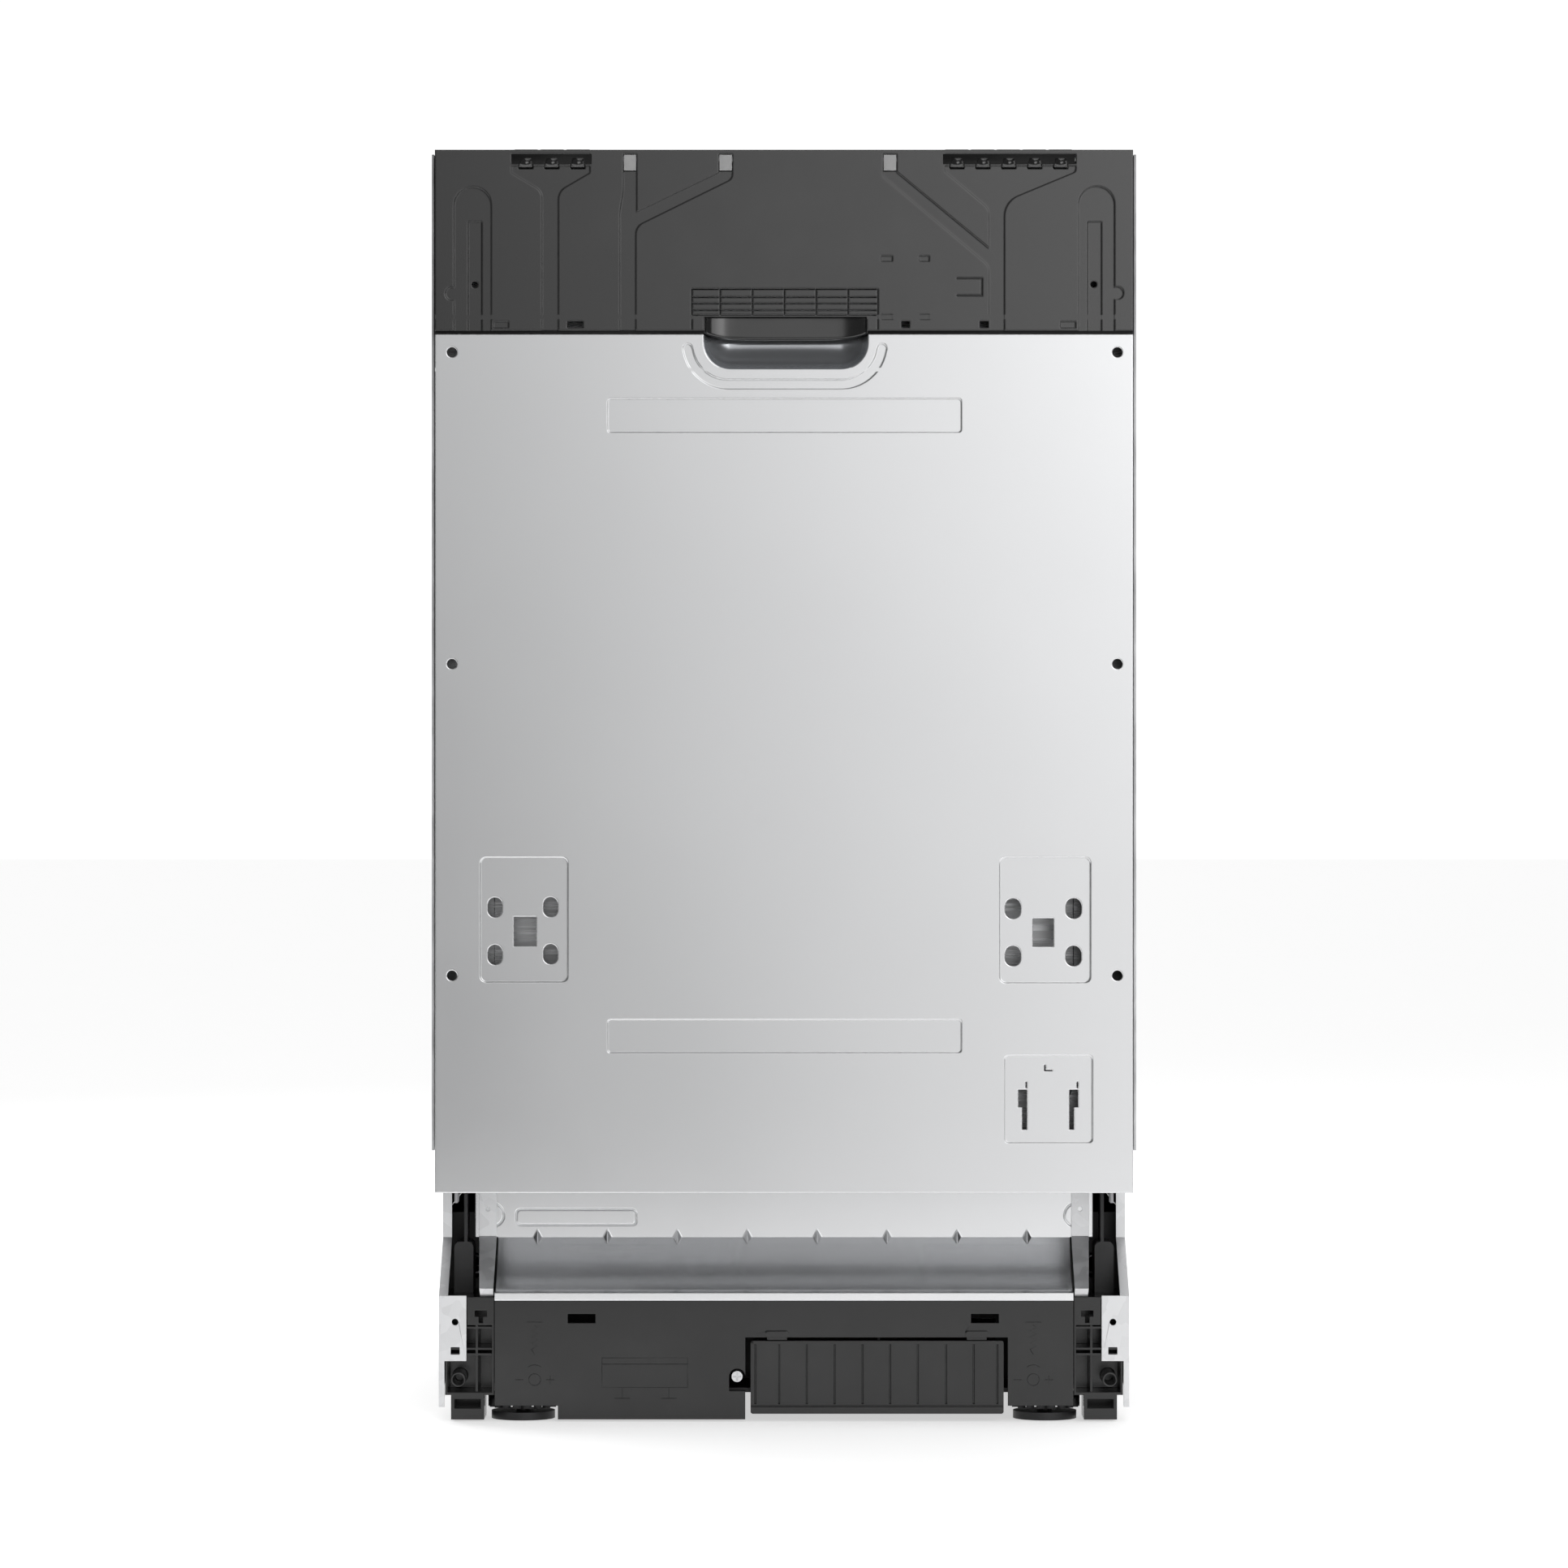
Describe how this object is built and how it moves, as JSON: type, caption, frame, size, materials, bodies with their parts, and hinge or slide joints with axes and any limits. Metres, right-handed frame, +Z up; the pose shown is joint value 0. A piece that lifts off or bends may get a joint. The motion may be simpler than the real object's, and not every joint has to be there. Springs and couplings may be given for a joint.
{
  "type": "built in dishwasher",
  "caption": "Fully integrated built-in dishwasher: steel door with top-edge buttons for a furniture front, wash tub with wire baskets and spray arms, and levelling feet",
  "frame": {"origin": "middle of the footprint, on the floor under the feet", "axes": "+X to the right seen from the front, +Y from the door to the wall, +Z up"},
  "size_m": [0.4498, 0.55, 0.815],
  "materials": {
    "door_paint": "satin grey paint",
    "stainless": "bright stainless",
    "zinc": "zinc-plated steel",
    "console_grey": "fine-textured dark grey plastic",
    "base_grey": "dark grey moulded plastic",
    "black_plastic": "black plastic",
    "white_plastic": "white plastic",
    "grey_plastic": "light grey plastic",
    "clear_plastic": "clear light guide",
    "rubber": "black rubber",
    "strip_grey": "light grey flexible strip",
    "felt": "felt",
    "coated_wire": "grey nylon-coated wire",
    "spring_steel": "spring steel"
  },
  "bodies": {
    "cabinet": {"base_tray": "black_plastic", "front_apron": "base_grey", "access_cover": "base_grey", "base_corner_left": "base_grey", "base_corner_right": "base_grey", "kick_plate": "door_paint", "side_frame_left": "zinc", "side_frame_right": "zinc", "base_straps": "zinc", "side_panel_left": "zinc", "side_panel_right": "zinc", "rear_panel": "zinc", "top_brace": "zinc", "tub": "stainless", "tub_gasket": "rubber", "trim_strips": "strip_grey", "insulation_jacket": "felt", "sump": "black_plastic", "circulation_pump": "grey_plastic", "drain_pump": "grey_plastic", "filter_cup": "grey_plastic", "water_duct": "grey_plastic", "upper_rails": "stainless", "softener": "white_plastic", "rear_connections": "black_plastic", "hinge_brackets": "black_plastic", "door_springs": "spring_steel", "fasteners": "zinc"},
    "door": {"door_outer_panel": "door_paint", "door_inner_panel": "stainless", "console": "console_grey", "control_box": "black_plastic", "light_guides": "clear_plastic", "hinge_levers": "spring_steel", "door_latch": "black_plastic", "dispenser": "grey_plastic", "door_screws": "zinc"},
    "button_1": {"button_1": "console_grey"},
    "button_2": {"button_2": "console_grey"},
    "button_3": {"button_3": "console_grey"},
    "button_4": {"button_4": "console_grey"},
    "button_5": {"button_5": "console_grey"},
    "button_6": {"button_6": "console_grey"},
    "button_7": {"button_7": "console_grey"},
    "button_8": {"button_8": "console_grey"},
    "dispenser_lid": {"dispenser_lid": "grey_plastic"},
    "rinse_aid_cap": {"rinse_aid_cap": "grey_plastic"},
    "lower_spray_arm": {"lower_spray_arm": "grey_plastic"},
    "upper_basket": {"upper_basket": "coated_wire"},
    "upper_spray_arm": {"upper_spray_arm": "grey_plastic"},
    "lower_basket": {"lower_basket": "coated_wire", "cutlery_basket": "grey_plastic"},
    "wheel_front_left": {"wheel_front_left": "grey_plastic"},
    "wheel_front_right": {"wheel_front_right": "grey_plastic"},
    "wheel_rear_left": {"wheel_rear_left": "grey_plastic"},
    "wheel_rear_right": {"wheel_rear_right": "grey_plastic"},
    "front_foot_left": {"front_foot_left": "black_plastic"},
    "front_foot_right": {"front_foot_right": "black_plastic"},
    "foot_adjuster": {"foot_adjuster": "zinc"},
    "rear_foot": {"rear_foot": "black_plastic"}
  },
  "joints": [
    {"name": "door_hinge", "type": "hinge", "parent": "cabinet", "child": "door", "pos_m": [0, -0.235, 0.158], "axis": [1, 0, 0], "range_deg": [0, 90], "stiffness_Nm_per_rad": 22, "deforming": ["door_springs"]},
    {"name": "button_1_press", "type": "slide", "parent": "door", "child": "button_1", "axis": [0, 0, -1], "range_m": [0, 0.0015], "stiffness_N_per_m": 300, "springref_m": -0.002},
    {"name": "button_2_press", "type": "slide", "parent": "door", "child": "button_2", "axis": [0, 0, -1], "range_m": [0, 0.0015], "stiffness_N_per_m": 300, "springref_m": -0.002},
    {"name": "button_3_press", "type": "slide", "parent": "door", "child": "button_3", "axis": [0, 0, -1], "range_m": [0, 0.0015], "stiffness_N_per_m": 300, "springref_m": -0.002},
    {"name": "button_4_press", "type": "slide", "parent": "door", "child": "button_4", "axis": [0, 0, -1], "range_m": [0, 0.0015], "stiffness_N_per_m": 300, "springref_m": -0.002},
    {"name": "button_5_press", "type": "slide", "parent": "door", "child": "button_5", "axis": [0, 0, -1], "range_m": [0, 0.0015], "stiffness_N_per_m": 300, "springref_m": -0.002},
    {"name": "button_6_press", "type": "slide", "parent": "door", "child": "button_6", "axis": [0, 0, -1], "range_m": [0, 0.0015], "stiffness_N_per_m": 300, "springref_m": -0.002},
    {"name": "button_7_press", "type": "slide", "parent": "door", "child": "button_7", "axis": [0, 0, -1], "range_m": [0, 0.0015], "stiffness_N_per_m": 300, "springref_m": -0.002},
    {"name": "button_8_press", "type": "slide", "parent": "door", "child": "button_8", "axis": [0, 0, -1], "range_m": [0, 0.0015], "stiffness_N_per_m": 300, "springref_m": -0.002},
    {"name": "dispenser_lid_slide", "type": "slide", "parent": "door", "child": "dispenser_lid", "axis": [-1, 0, 0], "range_m": [0, 0.055]},
    {"name": "rinse_aid_cap_turn", "type": "hinge", "parent": "door", "child": "rinse_aid_cap", "pos_m": [0.044, -0.212, 0.512], "axis": [0, 1, 0], "range_deg": [0, 90]},
    {"name": "lower_arm_spin", "type": "hinge", "parent": "cabinet", "child": "lower_spray_arm", "pos_m": [0, 0.02, 0.178], "axis": [0, 0, 1], "continuous": true},
    {"name": "upper_basket_slide", "type": "slide", "parent": "cabinet", "child": "upper_basket", "axis": [0, -1, 0], "range_m": [0, 0.36]},
    {"name": "upper_arm_spin", "type": "hinge", "parent": "upper_basket", "child": "upper_spray_arm", "pos_m": [0, 0.02, 0.484], "axis": [0, 0, 1], "continuous": true},
    {"name": "lower_basket_slide", "type": "slide", "parent": "cabinet", "child": "lower_basket", "axis": [0, -1, 0], "range_m": [0, 0.103]},
    {"name": "wheel_front_left_roll", "type": "hinge", "parent": "lower_basket", "child": "wheel_front_left", "pos_m": [-0.195, -0.125, 0.188], "axis": [1, 0, 0], "continuous": true},
    {"name": "wheel_front_right_roll", "type": "hinge", "parent": "lower_basket", "child": "wheel_front_right", "pos_m": [0.195, -0.125, 0.188], "axis": [1, 0, 0], "continuous": true},
    {"name": "wheel_rear_left_roll", "type": "hinge", "parent": "lower_basket", "child": "wheel_rear_left", "pos_m": [-0.195, 0.15, 0.188], "axis": [1, 0, 0], "continuous": true},
    {"name": "wheel_rear_right_roll", "type": "hinge", "parent": "lower_basket", "child": "wheel_rear_right", "pos_m": [0.195, 0.15, 0.188], "axis": [1, 0, 0], "continuous": true},
    {"name": "front_foot_left_screw", "type": "slide", "parent": "cabinet", "child": "front_foot_left", "axis": [0, 0, -1], "range_m": [0, 0.05]},
    {"name": "front_foot_right_screw", "type": "slide", "parent": "cabinet", "child": "front_foot_right", "axis": [0, 0, -1], "range_m": [0, 0.05]},
    {"name": "foot_adjuster_turn", "type": "hinge", "parent": "cabinet", "child": "foot_adjuster", "pos_m": [-0.0302, -0.238, 0.0291], "axis": [0, -1, 0], "range_deg": [0, 3600]},
    {"name": "rear_foot_screw", "type": "slide", "parent": "cabinet", "child": "rear_foot", "axis": [0, 0, -1], "range_m": [0, 0.05]}
  ],
  "couplings": [
    {"joint": "upper_basket_slide", "follows": "door_hinge", "m_per_rad": 0.229},
    {"joint": "lower_basket_slide", "follows": "door_hinge", "m_per_rad": 0.065},
    {"joint": "rear_foot_screw", "follows": "foot_adjuster_turn", "m_per_rad": 0.00079577}
  ]
}
